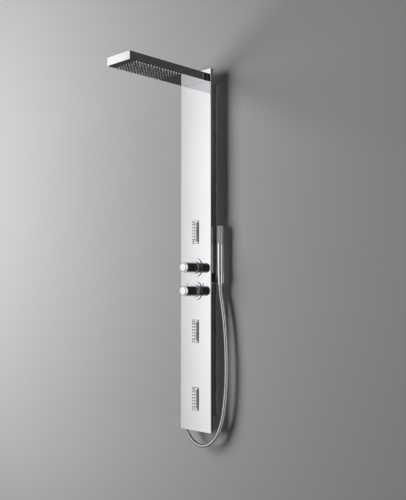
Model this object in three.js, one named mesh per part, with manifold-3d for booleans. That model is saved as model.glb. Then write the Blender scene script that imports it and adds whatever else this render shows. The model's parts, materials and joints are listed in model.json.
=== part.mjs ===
// Rainfall shower column: a wall-hung polished steel panel with a fixed rain head, three tilting body
// jets, two turning valve knobs, and a stick handset that lifts out of its holder on a metal hose.
//
// Millimetres, +Z up, +X to the right, +Y into the wall. Inside the column group y = 0 is the front
// face of the panel and z = 0 is its bottom edge. The group is then moved so that the part's origin
// is the middle of the upper bracket's face on the wall.

import * as THREE from 'three';
import { mergeVertices } from 'three/addons/utils/BufferGeometryUtils.js';
import Module from 'manifold-3d';

const wasm = await Module();
wasm.setup();

// ---- driving dimensions ------------------------------------------------------------------------

const GAP = 0.3;                    // working clearance between touching pieces

const COLUMN_DEPTH = 50;            // panel front to wall
const PANEL = { width: 177, height: 1500, depth: 14, sheet: 1.5, lip: 24, corner: 2 };
const HOSE_NOTCH = { x: -56, top: 62 };
const RAIL = { outer: 76.5, sheet: 2, flange: 15, bottom: 70, top: 1440 };
const END_PLATE = 3;                // from a rail's end to the far face of the plate on it
const BRACKET_HEIGHTS = { upper: 1350, lower: 250 };
const BRACKET = { halfWidth: 50, below: 32, above: 24, sheet: 3, lip: 8, lipFront: 36.5, lipSheet: 2 };
const WALL_SCREW = { x: 38, below: 18, radius: 3.2 };
const MEMBER = { front: 39.5, back: 41.5, halfHeight: 20 };
const SCREW = { x: 69.5, hole: 2.1, tip: 7, head: 3.8, headHeight: 2.4, heights: [150, 1390] };

const HEAD = { width: 135, thickness: 33, bottom: 1451, reach: 420, sheet: 1.5 };
const FIELD = { near: 148, far: 387, halfWidth: 62 };      // nozzle field, measured from the panel
const ROOT = { halfWidth: 49.5, low: 5, high: 28, inHead: 16, back: 36 };
const CHAMBER = { height: 18, wall: 2, above: 5 };
const HEAD_BOLT = { x: 44, radius: 3, hole: 3.3, head: 5.5, headHeight: 4, reach: 17 };

const JET_HEIGHTS = [822, 409, 130];
const JET = { halfWidth: 15.2, halfHeight: 46.7, proud: 3, bevel: 0.5 };
const JET_OPENING = { halfWidth: 13.4, halfHeight: 42 };
const JET_BLOCK = { halfWidth: 11.4, halfHeight: 37.5, front: -10.5, back: 9 };
const JET_HOUSING = { halfWidth: 16.5, halfHeight: 45, back: 22, spout: 8 };
const PIVOT = { depth: 6, pin: 2.5, hole: 2.9, reach: 15.7 };
const NUB = { columns: 2, rows: 6, pitchX: 10.6, pitchZ: 12.3, radius: 2.6, tip: 2, proud: 2.2 };

const KNOB = { radius: 21.9, back: 9.9, front: 66.3, wall: 3, edge: 2.4 };
const VALVES = [
  { name: 'selector', height: 674, stepped: false, button: false },
  { name: 'temperature', height: 577, stepped: true, button: true },
];
const BUTTON = { radius: 2.5, out: 31.5, alongKnob: 46, bottom: 12.2, flange: 4 };
const VALVE_BORE = { panel: 15, ring: 14.6 };
const RING = { radius: 40, front: 4 };
const COLLAR_FRONT = 9.5;
const SPINDLE = { radius: 4.4, bore: 4.9, front: 57 };
const CAP = { lip: 4.1, recess: 2, proud: 9.2, edge: 2 };

const MIXER = { halfWidth: 42, front: 18, back: 36, bottom: 548, top: 702 };
const PIPE_X = 30;                  // pipes run this far left and right of the middle
const PIPE_Y = 27;
const INLET_HEIGHT = 625;

const HANDSET = { x: 118, y: 25, radius: 12.1, sprayRadius: 12.4, bottom: 655.3, joint: 771, top: 843.5 };
const HOLDER_SCREW = { height: 632, radius: 2.3, hole: 2.6, head: 4.2, headHeight: 2.4, reach: 12 };
const CUP = { radius: 14, bottom: 608, top: 655, boreTop: 11.2, boreBottom: 9.3, slot: 15.5 };
const ARM = { halfDepth: 10, below: 5, above: 4, overlap: 6 };
const SPRAY_WINDOW = { halfWidth: 8, depth: 3, below: 6, above: 8 };

const HOSE_RADIUS = 7;
const OUTLET = { x: -74.5, y: 12, bottom: 28, top: 46.7, radius: 9.3 };

// The hose hangs from the handset in one long loop and comes up into the outlet, x, y, z.
const HOSE_ROUTE = [
  [118.0, 25.0, 598.7], [118.0, 25.0, 590], [119.6, 24.9, 574], [123.6, 24.8, 552],
  [129.0, 24.6, 525], [134.8, 24.4, 494], [140.2, 24.1, 460], [144.8, 23.8, 422],
  [148.4, 23.5, 380], [151.2, 23.1, 335], [152.9, 22.7, 290], [153.2, 22.3, 246],
  [151.8, 21.9, 202], [148.8, 21.5, 160], [144.0, 21.1, 118], [136.8, 20.6, 77],
  [126.4, 20.1, 38], [112.4, 19.6, 5], [95.0, 19.0, -21], [74.6, 18.4, -40.4],
  [52.6, 17.8, -53.4], [30.4, 17.1, -60.2], [8.4, 16.4, -60.8], [-13.0, 15.7, -54.8],
  [-32.8, 15.0, -42.8], [-50.0, 14.2, -26], [-63.0, 13.3, -7], [-71.4, 12.5, 11],
  [-74.3, 12.0, 21.5], [-74.5, 12.0, 27.6],
];

// ---- materials ---------------------------------------------------------------------------------

const material = (color, roughness, metalness) =>
  new THREE.MeshStandardMaterial({ color, roughness, metalness });

const polishedSteel = () => material(0xd8dadc, 0.05, 1);
const satinSteel = () => material(0x9b9da0, 0.35, 1);
const zincSteel = () => material(0x8c9092, 0.45, 1);
const brass = () => material(0xb08d4a, 0.35, 1);
const chrome = () => material(0xe0e2e4, 0.05, 1);
const silicone = () => material(0xc9cacb, 0.6, 0);
const plastic = () => material(0x55585b, 0.5, 0);

// ---- solids ------------------------------------------------------------------------------------

// A closed three.js geometry becomes a solid once equal points are one and empty faces are gone.
function solid(geometry) {
  const source = geometry.clone();
  source.deleteAttribute('normal');
  source.deleteAttribute('uv');
  const merged = mergeVertices(source, 1e-4);
  const points = merged.attributes.position.array;
  const faces = [];
  for (let i = 0; i < merged.index.count; i += 3) {
    const [a, b, c] = [0, 1, 2].map((k) => merged.index.getX(i + k));
    if (a !== b && b !== c && c !== a) faces.push(a, b, c);
  }
  if (signedVolume(points, faces) < 0) faces.reverse();
  return new wasm.Manifold(new wasm.Mesh({
    numProp: 3,
    vertProperties: new Float32Array(points),
    triVerts: new Uint32Array(faces),
  }));
}

function signedVolume(points, faces) {
  const [a, b, c] = [new THREE.Vector3(), new THREE.Vector3(), new THREE.Vector3()];
  let sum = 0;
  for (let i = 0; i < faces.length; i += 3) {
    a.fromArray(points, faces[i] * 3);
    b.fromArray(points, faces[i + 1] * 3);
    c.fromArray(points, faces[i + 2] * 3);
    sum += a.dot(b.cross(c));
  }
  return sum / 6;
}

function geometryOf(manifold) {
  const mesh = manifold.getMesh();
  const geometry = new THREE.BufferGeometry();
  const points = new Float32Array(mesh.vertProperties);
  geometry.setAttribute('position', new THREE.BufferAttribute(points, 3));
  geometry.setIndex(new THREE.BufferAttribute(new Uint32Array(mesh.triVerts), 1));
  geometry.computeVertexNormals();
  return geometry;
}

const join = (...solids) => solids.reduce((sum, next) => sum.add(next));
const cut = (from, ...tools) => tools.reduce((rest, tool) => rest.subtract(tool), from);

function block(x0, x1, y0, y1, z0, z1) {
  const geometry = new THREE.BoxGeometry(x1 - x0, y1 - y0, z1 - z0);
  geometry.translate((x0 + x1) / 2, (y0 + y1) / 2, (z0 + z1) / 2);
  return solid(geometry);
}

// A round bar from one point to another.
function bar(from, to, radius, sides = 12) {
  const start = new THREE.Vector3(...from);
  const end = new THREE.Vector3(...to);
  const along = end.clone().sub(start);
  const geometry = new THREE.CylinderGeometry(radius, radius, along.length(), sides);
  const up = new THREE.Vector3(0, 1, 0);
  geometry.applyQuaternion(new THREE.Quaternion().setFromUnitVectors(up, along.clone().normalize()));
  const middle = start.add(end).multiplyScalar(0.5);
  geometry.translate(middle.x, middle.y, middle.z);
  return solid(geometry);
}

// A turned piece on an axis along Y through (x, z). The outline is [radius, y] pairs.
function turnedOnY(outline, x, z, sides = 28) {
  const geometry = new THREE.LatheGeometry(outline.map(([r, y]) => new THREE.Vector2(r, y)), sides);
  geometry.translate(x, 0, z);
  return solid(geometry);
}

// A turned piece on an axis along Z through (x, y). The outline is [radius, z] pairs.
function turnedOnZ(outline, x, y, sides = 24) {
  const geometry = new THREE.LatheGeometry(outline.map(([r, z]) => new THREE.Vector2(r, z)), sides);
  geometry.rotateX(Math.PI / 2);
  geometry.translate(x, y, 0);
  return solid(geometry);
}

// An outline of [x, y] pairs drawn up from z0 to z1.
function drawnUp(outline, z0, z1) {
  const shape = new THREE.Shape(outline.map(([x, y]) => new THREE.Vector2(x, y)));
  const geometry = new THREE.ExtrudeGeometry(shape, { depth: z1 - z0, bevelEnabled: false });
  geometry.translate(0, 0, z0);
  return solid(geometry);
}

// An outline of [y, z] pairs drawn across from x0 to x1.
function drawnAcross(outline, x0, x1) {
  const shape = new THREE.Shape(outline.map(([y, z]) => new THREE.Vector2(y, z)));
  const geometry = new THREE.ExtrudeGeometry(shape, { depth: x1 - x0, bevelEnabled: false });
  geometry.applyMatrix4(new THREE.Matrix4().set(0, 0, 1, x0, 1, 0, 0, 0, 0, 1, 0, 0, 0, 0, 0, 1));
  return solid(geometry);
}

// Straight runs of pipe through a list of points, with round elbows between them.
function runs(points, radius) {
  const pieces = [];
  for (let i = 1; i < points.length; i += 1) pieces.push(bar(points[i - 1], points[i], radius, 8));
  for (const point of points.slice(1, -1)) {
    const elbow = new THREE.SphereGeometry(radius * 1.05, 8, 4);
    elbow.translate(...point);
    pieces.push(solid(elbow));
  }
  return join(...pieces);
}

// ---- the assembly ------------------------------------------------------------------------------

const column = new THREE.Group();
column.position.set(0, -COLUMN_DEPTH, -BRACKET_HEIGHTS.upper);

function piece(name, shape, finish) {
  const mesh = new THREE.Mesh(geometryOf(shape), finish);
  mesh.name = name;
  column.add(mesh);
}

// ---- panel and the frame behind it -------------------------------------------------------------

const half = PANEL.width / 2;
const lipInner = half - PANEL.lip;

// The panel's section: its two front corners are rounded, from the right side round to the left.
function panelOutline() {
  const { depth, corner } = PANEL;
  const steps = 4;
  const right = Array.from({ length: steps + 1 }, (_, i) => {
    const turn = (i / steps) * (Math.PI / 2);
    return [half - corner + corner * Math.cos(turn), corner - corner * Math.sin(turn)];
  });
  const left = right.map(([x, y]) => [-x, y]).reverse();
  return [[half, depth], ...right, ...left, [-half, depth]];
}

function frontPanel() {
  const { height, depth, sheet } = PANEL;
  const inside = half - sheet;
  const rootHalf = ROOT.halfWidth + 0.5;
  const jet = JET_OPENING;
  return cut(
    drawnUp(panelOutline(), 0, height),
    block(-inside, inside, sheet, depth - sheet, sheet, height - sheet),
    block(-lipInner, lipInner, depth - sheet - 1, depth + 1, sheet, height - sheet),
    block(-inside, HOSE_NOTCH.x, sheet, depth + 1, -1, HOSE_NOTCH.top),
    block(-rootHalf, rootHalf, -1, sheet + 1, HEAD.bottom + ROOT.low - 1, HEAD.bottom + ROOT.high + 1),
    ...JET_HEIGHTS.map((z) =>
      block(-jet.halfWidth, jet.halfWidth, -1, sheet + 1, z - jet.halfHeight, z + jet.halfHeight)),
    ...VALVES.map(({ height: z }) => bar([0, -1, z], [0, sheet + 1, z], VALVE_BORE.panel, 24)),
    ...SCREW.heights.flatMap((z) => [-SCREW.x, SCREW.x].map((x) =>
      bar([x, depth - sheet - 1, z], [x, depth + 1, z], SCREW.hole, 12))),
  );
}

// A C-shaped rail, open towards the middle of the column.
function rail(side) {
  const { outer, sheet, flange, bottom, top } = RAIL;
  const front = PANEL.depth + GAP;
  const inner = outer - flange;
  const profile = [
    [outer, front], [outer, COLUMN_DEPTH],
    [inner, COLUMN_DEPTH], [inner, COLUMN_DEPTH - sheet],
    [outer - sheet, COLUMN_DEPTH - sheet], [outer - sheet, front + sheet],
    [inner, front + sheet], [inner, front],
  ].map(([x, y]) => [side * x, y]);
  const x = side * SCREW.x;
  const holes = SCREW.heights.map((z) => bar([x, front - 1, z], [x, front + sheet + 1, z], SCREW.hole, 12));
  const body = cut(drawnUp(profile, bottom, top), ...holes);
  if (side < 0) return body;
  const { height, hole } = HOLDER_SCREW;
  return cut(body, bar([outer - sheet * 2, HANDSET.y, height], [outer + 1, HANDSET.y, height], hole, 12));
}

// The bracket's ledge and hook pass over a cross member and down in front of it.
function wallBracket(z) {
  const { halfWidth, below, above, sheet, lip, lipFront, lipSheet } = BRACKET;
  const front = COLUMN_DEPTH - sheet;
  const lipBack = lipFront + lipSheet;
  const hook = [
    [COLUMN_DEPTH, z - below], [COLUMN_DEPTH, z + above], [lipFront, z + above], [lipFront, z + lip],
    [lipBack, z + lip], [lipBack, z + above - sheet], [front, z + above - sheet], [front, z - below],
  ];
  const height = z - WALL_SCREW.below;
  const holes = [-WALL_SCREW.x, WALL_SCREW.x].map((x) =>
    bar([x, front - 2, height], [x, COLUMN_DEPTH + 1, height], WALL_SCREW.radius, 16));
  return cut(drawnAcross(hook, -halfWidth, halfWidth), ...holes);
}

function panelScrew(side, z) {
  const x = side * SCREW.x;
  const seat = PANEL.depth + GAP + RAIL.sheet + GAP;
  return join(
    bar([x, SCREW.tip, z], [x, seat + 0.5, z], SCREW.hole - GAP, 12),
    bar([x, seat, z], [x, seat + SCREW.headHeight, z], SCREW.head, 12),
  );
}

piece('front_panel', frontPanel(), polishedSteel());
piece('rail_left', rail(-1), satinSteel());
piece('rail_right', rail(1), satinSteel());
for (const [place, z] of Object.entries(BRACKET_HEIGHTS)) {
  const { front, back, halfHeight } = MEMBER;
  const inside = RAIL.outer - RAIL.sheet - GAP;
  const member = block(-inside, inside, front, back, z - halfHeight, z + halfHeight);
  piece(`cross_member_${place}`, member, satinSteel());
  piece(`wall_bracket_${place}`, wallBracket(z), zincSteel());
}
const plateFront = PANEL.depth + GAP;
const boltXs = [-HEAD_BOLT.x, HEAD_BOLT.x];
piece('chassis_top_plate', cut(
  block(-RAIL.outer, RAIL.outer, plateFront, COLUMN_DEPTH, RAIL.top + GAP, RAIL.top + END_PLATE),
  bar([-PIPE_X, PIPE_Y, RAIL.top - 1], [-PIPE_X, PIPE_Y, RAIL.top + 5], 8.8),
  ...boltXs.map((x) => bar([x, PIPE_Y, RAIL.top - 1], [x, PIPE_Y, RAIL.top + 5], HEAD_BOLT.hole, 12)),
), satinSteel());
piece('chassis_bottom_plate', cut(
  block(-RAIL.outer, RAIL.outer, plateFront, COLUMN_DEPTH, RAIL.bottom - END_PLATE, RAIL.bottom - GAP),
  bar([-PIPE_X, PIPE_Y, RAIL.bottom - 5], [-PIPE_X, PIPE_Y, RAIL.bottom + 1], 7.3),
), satinSteel());
for (const [index, z] of SCREW.heights.entries()) {
  piece(`panel_screw_left_${index + 1}`, panelScrew(-1, z), zincSteel());
  piece(`panel_screw_right_${index + 1}`, panelScrew(1, z), zincSteel());
}

// ---- rain head ---------------------------------------------------------------------------------

const headHalf = HEAD.width / 2;
const headTop = HEAD.bottom + HEAD.thickness;
const insideHalf = headHalf - HEAD.sheet - GAP;
const plateTop = HEAD.bottom + 2;
const boreHeight = HEAD.bottom + 16;
const bore = 6;                     // radius of the waterways

function headShell() {
  const { sheet, reach, bottom } = HEAD;
  const body = block(-headHalf, headHalf, -reach, -GAP, bottom, headTop);
  const hollow = block(-headHalf + sheet, headHalf - sheet, -reach + sheet, 1, bottom - 1, headTop - sheet);
  return cut(body, hollow);
}

// The cast root stands inside the back of the head and reaches through the panel over the top plate.
function headRoot() {
  const { halfWidth, low, high, inHead, back } = ROOT;
  const bottom = HEAD.bottom + low;
  const top = HEAD.bottom + high;
  const inside = block(-insideHalf, insideHalf, -inHead, -2 * GAP, plateTop + GAP,
    headTop - HEAD.sheet - GAP);
  const neck = block(-halfWidth, halfWidth, -1, back, bottom, top);
  const foot = block(-halfWidth, halfWidth, PANEL.depth + 2, back, RAIL.top + END_PLATE + GAP, top);
  const waterway = bar([-PIPE_X, -inHead - 1, boreHeight], [-PIPE_X, PIPE_Y, boreHeight], bore);
  const inlet = bar([-PIPE_X, PIPE_Y, RAIL.top], [-PIPE_X, PIPE_Y, boreHeight], bore);
  const threads = boltXs.map((x) =>
    bar([x, PIPE_Y, RAIL.top], [x, PIPE_Y, RAIL.top + HEAD_BOLT.reach + 1], HEAD_BOLT.hole, 12));
  return cut(join(inside, neck, foot), waterway, inlet, ...threads);
}

function headBolt(x) {
  const { radius, head, headHeight, reach } = HEAD_BOLT;
  return join(
    bar([x, PIPE_Y, RAIL.top - headHeight], [x, PIPE_Y, RAIL.top - 0.1], head, 6),
    bar([x, PIPE_Y, RAIL.top - 1], [x, PIPE_Y, RAIL.top + reach], radius, 12),
  );
}

function waterChamber() {
  const { near, far, halfWidth } = FIELD;
  const { height, wall, above } = CHAMBER;
  const bottom = plateTop + above;
  const body = block(-halfWidth, halfWidth, -far, -near, bottom, bottom + height);
  const hollow = block(-halfWidth + wall, halfWidth - wall, -far + wall, -near - wall, bottom - 1,
    bottom + height - wall);
  const inlet = bar([-PIPE_X, -near - 4, boreHeight], [-PIPE_X, -near + 1, boreHeight], bore);
  return cut(body, hollow, inlet);
}

const facePlate = block(-insideHalf, insideHalf, -HEAD.reach + HEAD.sheet + GAP, -2 * GAP,
  HEAD.bottom, plateTop);
const nozzleMat = block(-FIELD.halfWidth, FIELD.halfWidth, -FIELD.far, -FIELD.near,
  plateTop + GAP, plateTop + CHAMBER.above - GAP);
piece('head_shell', headShell(), polishedSteel());
piece('head_face_plate', facePlate, polishedSteel());
piece('head_nozzle_mat', nozzleMat, silicone());
piece('head_water_chamber', waterChamber(), plastic());
piece('head_inlet_tube', cut(
  bar([-PIPE_X, -FIELD.near + GAP, boreHeight], [-PIPE_X, -ROOT.inHead - GAP, boreHeight], 8),
  bar([-PIPE_X, -FIELD.near, boreHeight], [-PIPE_X, -ROOT.inHead, boreHeight], bore),
), brass());
piece('head_root', headRoot(), zincSteel());
piece('head_bolt_left', headBolt(-HEAD_BOLT.x), zincSteel());
piece('head_bolt_right', headBolt(HEAD_BOLT.x), zincSteel());

// ---- body jets ---------------------------------------------------------------------------------

function jetFrame(z) {
  const { halfWidth, halfHeight, proud, bevel } = JET;
  const windowX = JET_OPENING.halfWidth - 0.4;
  const windowZ = JET_OPENING.halfHeight - 1;
  const shape = new THREE.Shape([
    [-halfWidth + bevel, -halfHeight + bevel], [halfWidth - bevel, -halfHeight + bevel],
    [halfWidth - bevel, halfHeight - bevel], [-halfWidth + bevel, halfHeight - bevel],
  ].map(([x, y]) => new THREE.Vector2(x, y)));
  const depth = proud - GAP - 2 * bevel;
  const options = { depth, bevelSize: bevel, bevelThickness: bevel, bevelSegments: 1 };
  const geometry = new THREE.ExtrudeGeometry(shape, options);
  geometry.rotateX(Math.PI / 2);
  geometry.translate(0, -GAP - bevel, z);
  return cut(solid(geometry), block(-windowX, windowX, -proud - 1, 1, z - windowZ, z + windowZ));
}

function jetHousing(z) {
  const { halfWidth, halfHeight, back, spout } = JET_HOUSING;
  const inner = JET_OPENING;
  const front = PANEL.sheet + GAP;
  const body = join(
    block(-halfWidth, halfWidth, front, back, z - halfHeight, z + halfHeight),
    bar([0, back - 1, z], [0, PIPE_Y - 1, z], spout),
  );
  return cut(
    body,
    block(-inner.halfWidth, inner.halfWidth, front - 1, back - 3, z - inner.halfHeight, z + inner.halfHeight),
    bar([0, back - 4, z], [0, PIPE_Y, z], spout - 3),
    bar([-halfWidth - 1, PIVOT.depth, z], [halfWidth + 1, PIVOT.depth, z], PIVOT.hole),
  );
}

// The nozzle block tilts on two stub pins. Its nozzles stand in two columns.
function jetBlock(z) {
  const { halfWidth, halfHeight, front, back } = JET_BLOCK;
  const body = block(-halfWidth, halfWidth, front, back, z - halfHeight, z + halfHeight);
  const pins = bar([-PIVOT.reach, PIVOT.depth, z], [PIVOT.reach, PIVOT.depth, z], PIVOT.pin);
  const nubs = [];
  for (let column = 0; column < NUB.columns; column += 1) {
    for (let row = 0; row < NUB.rows; row += 1) {
      const x = (column - (NUB.columns - 1) / 2) * NUB.pitchX;
      const up = (row - (NUB.rows - 1) / 2) * NUB.pitchZ;
      const tip = front - NUB.proud;
      const outline = [[0, front + 1], [NUB.radius, front + 1], [NUB.tip, tip], [0, tip]];
      nubs.push(turnedOnY(outline, x, z + up, 8));
    }
  }
  return join(body, pins, ...nubs);
}

for (const [index, z] of JET_HEIGHTS.entries()) {
  piece(`jet_frame_${index + 1}`, jetFrame(z), polishedSteel());
  piece(`jet_nozzle_block_${index + 1}`, jetBlock(z), chrome());
  piece(`jet_housing_${index + 1}`, jetHousing(z), plastic());
}

// ---- mixer, valves and knobs -------------------------------------------------------------------

function mixerBody() {
  const { halfWidth, front, back, bottom, top } = MIXER;
  const body = block(-halfWidth, halfWidth, front, back, bottom, top);
  const bores = VALVES.map(({ height: z }) => bar([0, front - 1, z], [0, front + 14, z], 17, 24));
  const ports = [-PIPE_X, PIPE_X].flatMap((x) => [
    bar([x, PIPE_Y, top - 12], [x, PIPE_Y, top + 1], 5, 8),
    bar([x, PIPE_Y, bottom - 1], [x, PIPE_Y, bottom + 12], 5, 8),
    bar([x, back - 10, INLET_HEIGHT], [x, back + 1, INLET_HEIGHT], 6, 8),
  ]);
  return cut(body, ...bores, ...ports);
}

function inletUnion(x) {
  const start = MIXER.back + GAP;
  return cut(
    join(
      bar([x, start, INLET_HEIGHT], [x, COLUMN_DEPTH, INLET_HEIGHT], 10.5, 16),
      bar([x, start, INLET_HEIGHT], [x, start + 8, INLET_HEIGHT], 14, 6),
    ),
    bar([x, start - 1, INLET_HEIGHT], [x, COLUMN_DEPTH + 1, INLET_HEIGHT], 6),
  );
}

function cartridge(z) {
  const { front } = MIXER;
  return turnedOnY([
    [0, front + 13.7], [16.5, front + 13.7], [16.5, front - 1.6], [14, front - 1.6], [14, -8],
    [4.9, -8], [4.9, 12], [0, 12],
  ], 0, z, 24);
}

function lockNut(z) {
  return cut(bar([0, 6, z], [0, 16, z], 21, 6), bar([0, 5, z], [0, 17, z], 14.4, 24));
}

function wallRing(z) {
  const { radius, front } = RING;
  const { ring } = VALVE_BORE;
  return turnedOnY([
    [ring, -GAP], [radius, -GAP], [radius - 0.6, -front], [ring, -front], [ring, -GAP],
  ], 0, z, 36);
}

function collar(z, stepped) {
  const { ring } = VALVE_BORE;
  const back = -RING.front - GAP;
  const front = -COLLAR_FRONT;
  const side = stepped
    ? [[29.5, back], [29.2, -6], [26, -6], [25.6, front]]
    : [[27, back], [26.6, front]];
  return turnedOnY([[ring, back], ...side, [ring, front], [ring, back]], 0, z, 32);
}

function spindle(z) {
  return bar([0, 11.6, z], [0, -SPINDLE.front, z], SPINDLE.radius);
}

// The knob is a cup, open towards the panel, with a boss inside that grips the spindle.
function knob(z, withButton) {
  const { radius, back, front, wall, edge } = KNOB;
  const floor = front - 6;
  const cup = turnedOnY([
    [0, -back], [radius, -back], [radius, -front + edge], [radius - edge, -front], [0, -front],
  ], 0, z);
  const hollow = bar([0, -back + 1, z], [0, -floor, z], radius - wall, 20);
  const boss = bar([0, -28, z], [0, -floor - 1, z], 9);
  const socket = bar([0, -20, z], [0, -SPINDLE.front - GAP, z], SPINDLE.bore);
  const recess = bar([0, -front + CAP.recess, z], [0, -front - 1, z], radius - CAP.lip, 28);
  const body = cut(join(cut(cup, hollow), boss), socket, recess);
  if (!withButton) return body;
  const y = -BUTTON.alongKnob;
  return cut(body, bar([0, y, z + 12], [0, y, z + radius + 1], BUTTON.radius + GAP + 0.1));
}

function knobCap(z) {
  const radius = KNOB.radius - CAP.lip - GAP;
  const back = -KNOB.front + CAP.recess - GAP;
  const front = -KNOB.front - CAP.proud;
  const { edge } = CAP;
  return turnedOnY([
    [0, back], [radius, back], [radius, front + edge], [radius - edge, front], [0, front],
  ], 0, z);
}

// The button's flange stays inside the knob's wall.
function overrideButton(z) {
  const { radius, out, alongKnob, bottom, flange } = BUTTON;
  const under = bottom + 0.8;
  const over = under + 1.6;
  const stem = [
    [0, bottom], [radius, bottom], [radius, under], [flange, under], [flange, over], [radius, over],
    [radius, out - 0.8], [radius - 0.8, out], [0, out],
  ];
  return turnedOnZ(stem.map(([r, up]) => [r, z + up]), 0, -alongKnob, 12);
}

piece('mixer_body', mixerBody(), brass());
piece('inlet_union_hot', inletUnion(-PIPE_X), brass());
piece('inlet_union_cold', inletUnion(PIPE_X), brass());
for (const { name, height: z, stepped, button } of VALVES) {
  piece(`${name}_cartridge`, cartridge(z), plastic());
  piece(`${name}_lock_nut`, lockNut(z), brass());
  piece(`${name}_wall_ring`, wallRing(z), polishedSteel());
  piece(`${name}_collar`, collar(z, stepped), chrome());
  piece(`${name}_spindle`, spindle(z), brass());
  piece(`${name}_knob`, knob(z, button), chrome());
  piece(`${name}_knob_cap`, knobCap(z), chrome());
  if (button) piece('override_button', overrideButton(z), chrome());
}

// ---- pipes inside the column -------------------------------------------------------------------

const PIPE_WALL = 1.5;

// The bore runs on past both ends of the pipe, so that they are open.
function pipe(points, radius) {
  const inner = points.map((point) => [...point]);
  for (const [end, next] of [[0, 1], [points.length - 1, points.length - 2]]) {
    const out = new THREE.Vector3(...points[end]).sub(new THREE.Vector3(...points[next])).normalize();
    inner[end] = new THREE.Vector3(...points[end]).add(out).toArray();
  }
  return cut(runs(points, radius), runs(inner, radius - PIPE_WALL));
}

const above = MIXER.top + GAP;
const below = MIXER.bottom - GAP;
const behindJet = PIPE_Y + 7;
const [upperJet, middleJet, lowerJet] = JET_HEIGHTS;
const toJet = (z) => [
  [PIPE_X, PIPE_Y, z], [14, behindJet, z], [0, behindJet, z], [0, PIPE_Y - 1 + GAP, z],
];
piece('riser_pipe', pipe([[-PIPE_X, PIPE_Y, above], [-PIPE_X, PIPE_Y, RAIL.top + END_PLATE]], 8), brass());
piece('jet_pipe_upper', pipe([[PIPE_X, PIPE_Y, above], ...toJet(upperJet)], 6), brass());
piece('jet_pipe_lower', join(
  pipe([[PIPE_X, PIPE_Y, below], ...toJet(lowerJet)], 6),
  cut(
    runs(toJet(middleJet), 6),
    bar([0, PIPE_Y - 2, middleJet], [0, behindJet, middleJet], 6 - PIPE_WALL, 12),
    bar([PIPE_X, PIPE_Y, middleJet - 20], [PIPE_X, PIPE_Y, middleJet + 20], 6 - PIPE_WALL, 12),
  ),
), brass());
const turnHeight = 56;
piece('handset_pipe', pipe([
  [-PIPE_X, PIPE_Y, below], [-PIPE_X, PIPE_Y, turnHeight], [OUTLET.x, PIPE_Y - 4, turnHeight],
  [OUTLET.x, OUTLET.y, turnHeight - 2], [OUTLET.x, OUTLET.y, OUTLET.top + GAP],
], 6), brass());

// ---- handset, holder and hose ------------------------------------------------------------------

function handsetHolder() {
  const { x, y } = HANDSET;
  const { radius, bottom, top, boreTop, boreBottom, slot } = CUP;
  const cup = turnedOnZ([
    [0, bottom], [radius - 1, bottom], [radius, bottom + 1],
    [radius, top - 1], [radius - 1, top], [0, top],
  ], x, y);
  const near = y - ARM.halfDepth;
  const far = y + ARM.halfDepth;
  const low = bottom + ARM.below;
  const high = top - ARM.above;
  const arm = drawnAcross([[near, low], [far, low], [far, high], [near, high]], RAIL.outer + GAP,
    x - ARM.overlap);
  const taper = turnedOnZ([
    [0, bottom - 1], [boreBottom, bottom - 1], [boreBottom, bottom],
    [boreTop, top], [boreTop, top + 1], [0, top + 1],
  ], x, y);
  const mouth = block(x - slot / 2, x + slot / 2, y - radius - 1, y, bottom - 1, top + 1);
  const { height, hole, reach } = HOLDER_SCREW;
  const thread = bar([RAIL.outer, y, height], [RAIL.outer + reach + 2, y, height], hole, 12);
  return cut(join(cup, arm), taper, mouth, thread);
}

function holderScrew() {
  const { height: z, radius, head, headHeight, reach } = HOLDER_SCREW;
  const inner = RAIL.outer - RAIL.sheet - GAP;
  return join(
    bar([inner - headHeight, HANDSET.y, z], [inner, HANDSET.y, z], head, 12),
    bar([inner - 1, HANDSET.y, z], [RAIL.outer + reach, HANDSET.y, z], radius, 12),
  );
}

function coneNut() {
  const { bottom, top, boreTop, boreBottom } = CUP;
  const neck = bottom - 6;
  return turnedOnZ([
    [HOSE_RADIUS + GAP, neck - 3], [8.6, neck - 3], [8.8, neck], [boreBottom - GAP, bottom],
    [boreTop - GAP, top], [5, top], [5, bottom + 6], [HOSE_RADIUS + GAP, bottom + 6],
    [HOSE_RADIUS + GAP, neck - 3],
  ], HANDSET.x, HANDSET.y);
}

const axis = [HANDSET.x, HANDSET.y];
const handsetBore = 9;

function handle() {
  const { radius, bottom, joint } = HANDSET;
  const top = joint - GAP;
  return turnedOnZ([
    [handsetBore, bottom], [radius - 0.6, bottom], [radius, bottom + 0.6],
    [radius, top], [handsetBore, top], [handsetBore, bottom],
  ], ...axis);
}

// The spray end is a capped tube with a window at the front for the nozzle face.
function sprayEnd() {
  const { sprayRadius: r, joint, top } = HANDSET;
  const tube = turnedOnZ([[0, joint], [r, joint], [r, top - 1.2], [r - 1.2, top], [0, top]], ...axis);
  const hollow = turnedOnZ([
    [0, joint - 1], [handsetBore, joint - 1], [handsetBore, top - 4], [0, top - 4],
  ], ...axis);
  const { halfWidth, depth, below: low, above: high } = SPRAY_WINDOW;
  const window = block(axis[0] - halfWidth, axis[0] + halfWidth, axis[1] - r - 1, axis[1] - depth,
    joint + low, top - high);
  return cut(tube, hollow, window);
}

function sprayFace() {
  const { sprayRadius: r, joint, top } = HANDSET;
  const tube = turnedOnZ([[0, joint], [r - GAP, joint], [r - GAP, top], [0, top]], ...axis);
  const { halfWidth, below: low, above: high } = SPRAY_WINDOW;
  const across = halfWidth - GAP;
  const front = block(axis[0] - across, axis[0] + across, axis[1] - r - 1, axis[1] - 6.5,
    joint + low + GAP, top - high - GAP);
  return tube.intersect(front);
}

function hose() {
  const points = HOSE_ROUTE.map(([x, y, z]) => new THREE.Vector3(x, y, z));
  const route = new THREE.CatmullRomCurve3(points);
  const section = new THREE.Shape();
  section.absarc(0, 0, HOSE_RADIUS, 0, Math.PI * 2);
  return solid(new THREE.ExtrudeGeometry(section, { steps: 34, curveSegments: 5, extrudePath: route }));
}

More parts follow.
